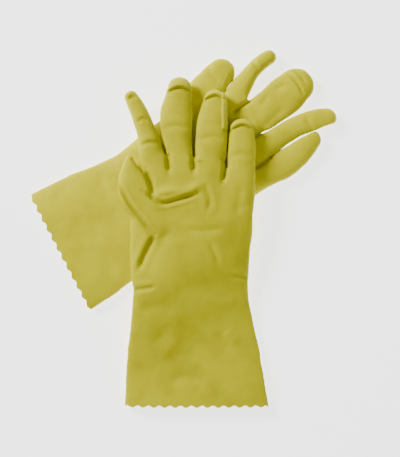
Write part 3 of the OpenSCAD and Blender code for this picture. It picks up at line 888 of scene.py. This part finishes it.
def fields(spec, h):
    """The grid, a field for each finger with the hand, the hand, the hand with the thumb joined on
    and with it free past the crotch, and the thumb by itself."""
    body, digits = spec["body"], spec["digits"]
    xs = [r[1] for r in body] + [r[2] for r in body] + [r[0] - r[2] for d in digits.values() for r in d]
    F = Field((min(xs) - 6, spec["mouth"][0][1] - 8, -3.0), (max(xs) + 6, 190, 21.0), h)
    root = past(spec["roots"])(F.X, F.Y)
    slab = F.slab(body)
    parts = [part_side(p)(F.X, F.Y) for p in spec["parts"]]
    ahead = np.select([parts[0] < 0, parts[1] < 0, parts[2] < 0], spec["ahead"][:3], spec["ahead"][3])
    stop = root - (ahead + 2.0)
    slab = smax(slab, stop[:, :, None] + 0 * F.Z, 3.0)
    out = {}
    for k, name in enumerate(FINGERS):
        f = F.tube(digits[name])
        if k > 0:
            f = smax(f, (0.3 - parts[k - 1])[:, :, None] + 0 * F.Z, 1.2)
        if k < 3:
            f = smax(f, (parts[k] + 0.3)[:, :, None] + 0 * F.Z, 1.2)
        out[name] = smax(smin(slab, f, 2.5), -F.Z + 0 * f, 1.2)
    hand = np.minimum.reduce([out[n] for n in FINGERS])
    thumb = F.tube(digits["thumb"])
    turn = past(spec["crotch"])(F.X, F.Y)
    shrink = np.clip(turn, 0, None)[:, :, None] * 1.3
    joined = smax(smin(hand, thumb, 4.0), -F.Z + 0 * thumb, 1.2)
    free = smax(smin(hand + shrink, thumb, 4.0 * np.exp(-shrink / 9) + 0.01), -F.Z + 0 * thumb, 1.2)
    return F, out, hand, joined, free, thumb


def make_glove(side, spec):
    """One glove's film and lining, each cut into the hand, which rides, and the pieces that bend."""
    g = spec["glove"]
    root, turn = past(spec["roots"]), past(spec["crotch"])
    sides = [part_side(p) for p in spec["parts"]]
    at = lambda p: Vector((*(g.world(np.array([[p[0], p[1], 0.0]]))[0, :2] * MM), 0.0))
    (x0, y0), (x1, y1) = spec["roots"]
    rn = np.array([-(y1 - y0), x1 - x0]) / math.hypot(x1 - x0, y1 - y0)
    (x0, y0), (x1, y1) = spec["crotch"]
    tn = np.array([-(y1 - y0), x1 - x0]) / math.hypot(x1 - x0, y1 - y0)
    shares = [0.12, 0.35, 0.6, 0.87]
    edge = scallops(spec)
    fold = spec["fold"]

    def lane(k):
        fs = []
        if k > 0:
            fs.append(lambda x, y, z: -sides[k - 1](x, y))
        if k < 3:
            fs.append(lambda x, y, z: sides[k](x, y))
        return fs

    def ahead(x, y):
        s = [f(x, y) for f in sides]
        return np.select([s[0] < 0, s[1] < 0, s[2] < 0], spec["ahead"][:3], spec["ahead"][3])

    for lining in (False, True):
        h = LINING_STEP if lining else STEP
        F, digits, hand, joined, free, thumb = fields(spec, h)
        deep = LINING_DEPTH if lining else 0.0
        sink = LINING_SINK if lining else 0.0
        rounds = 2 if lining else 5
        shell = lambda V: Shell(g, F, V + deep, rounds, spec, sink)
        tag = "_lining" if lining else ""
        mat = COTTON if lining else LATEX[side]
        made = []
        H1, H2 = shell(joined), shell(hand)
        above = lambda x, y, z: root(x, y) - ahead(x, y)
        a = H1.cut(lambda x, y, z: turn(x, y), lambda x, y, z: fold - y, above)
        b = H2.cut(lambda x, y, z: -turn(x, y), lambda x, y, z: fold - y, above)
        D = np.vstack([a[0], b[0]])
        T = np.vstack([a[1], b[1] + len(a[0])])
        made.append(("hand", D, T, None, None))
        short = LINING_SHORT if lining else 0.0
        D, T = H1.cut(lambda x, y, z: y - fold, lambda x, y, z: edge(x, y, z) + short)
        if not lining:
            D, T = film_back(D, T, FILM, lambda d: np.abs(edge(d[:, 0], d[:, 1], d[:, 2])) < 0.35)
        made.append(("cuff", D, T, (0, fold - 0.2), (0, fold - 14)))
        D, T = shell(free).cut(lambda x, y, z: -turn(x, y))
        fi = sample(F, thumb, D[:, :3])
        D, T = clip(D, T, fi - 5.0)
        heel = np.array(spec["crotch"][0])
        made.append(("thumb", D, T, heel, heel + tn * spec["reach"]))
        for k, name in enumerate(FINGERS):
            D, T = shell(digits[name]).cut(lambda x, y, z: spec["ahead"][k] - root(x, y), *lane(k))
            p = np.array(spec["roots"][0]) * (1 - shares[k]) + np.array(spec["roots"][1]) * shares[k]
            first = p + rn * (spec["ahead"][k] + 0.1)
            made.append((name, D, T, first, p + rn * (spec["ahead"][k] + 15)))
        for name, D, T, start, end in made:
            node = f"{side}_{name}{tag}"
            ob = build(node + "_skin" if not lining else node + "_flock", D, T, mat)
            if start is None:
                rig.ride(ob, f"{side}_hand")
            else:
                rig.blend(ob, f"{side}_hand", f"{side}_{name}", start=at(start), end=at(end))
            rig.replaces(ob, node)
            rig.slot(ob, "cotton_flock" if lining else SLOTS[side])


def sample(F, V, P):
    """Value of a field at points, from the nearest grid corner."""
    i = [np.clip(np.round((P[:, k] - F.ax[k][0]) / F.h).astype(int), 0, V.shape[k] - 1) for k in range(3)]
    return V[i[0], i[1], i[2]]


for side, spec in SPEC.items():
    make_glove(side, spec)

# ---------------------------------------------------------------- floor, light, camera
lo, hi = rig.bounds()
fm, nt, bsdf = nodes_of("studio_floor")
bsdf.inputs["Base Color"].default_value = (0.93, 0.93, 0.93, 1)
bsdf.inputs["Roughness"].default_value = 0.9
bsdf.inputs["Specular IOR Level"].default_value = 0.1
bsdf.inputs["Emission Color"].default_value = (1, 1, 1, 1)
bsdf.inputs["Emission Strength"].default_value = 2.4
bpy.ops.mesh.primitive_plane_add(size=6, location=(0, 0, lo.z - 0.0002))
floor = bpy.context.object
floor.name = "studio_floor"
floor.data.materials.append(fm)
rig.stage(floor)


def lamp(name, pos, size, watts, colour=(1, 1, 1)):
    l = bpy.data.lights.new(name, "AREA")
    l.shape = "SQUARE"
    l.size = size
    l.energy = watts
    l.color = colour
    o = bpy.data.objects.new(name, l)
    o.location = pos
    o.rotation_euler = (-Vector(pos)).to_track_quat("-Z", "Y").to_euler()
    bpy.context.scene.collection.objects.link(o)


lamp("key", (-1.3, 1.0, 1.0), 0.6, 54, (1.0, 0.99, 0.97))
lamp("fill", (1.2, -0.9, 1.6), 1.6, 8, (0.98, 0.99, 1.0))
world = bpy.data.worlds.new("studio")
bpy.context.scene.world = world
world.use_nodes = True
world.node_tree.nodes["Background"].inputs["Color"].default_value = (1, 1, 1, 1)
world.node_tree.nodes["Background"].inputs["Strength"].default_value = 0.30

cam = bpy.data.cameras.new("camera")
cam.lens = 85
cam.sensor_fit = "VERTICAL"
cam.sensor_height = 32.0
cam_ob = bpy.data.objects.new("camera", cam)
wide, tall = hi.x - lo.x, hi.y - lo.y
cam_ob.location = ((lo.x + hi.x) / 2 + 0.053 * wide, (lo.y + hi.y) / 2, 1.117)
bpy.context.scene.collection.objects.link(cam_ob)
bpy.context.scene.camera = cam_ob

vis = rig.bounds()
boxes = {"cad": [list(v) for v in cad_box], "visual": [list(v) for v in vis]}
json.dump(boxes, open("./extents.json", "w"))
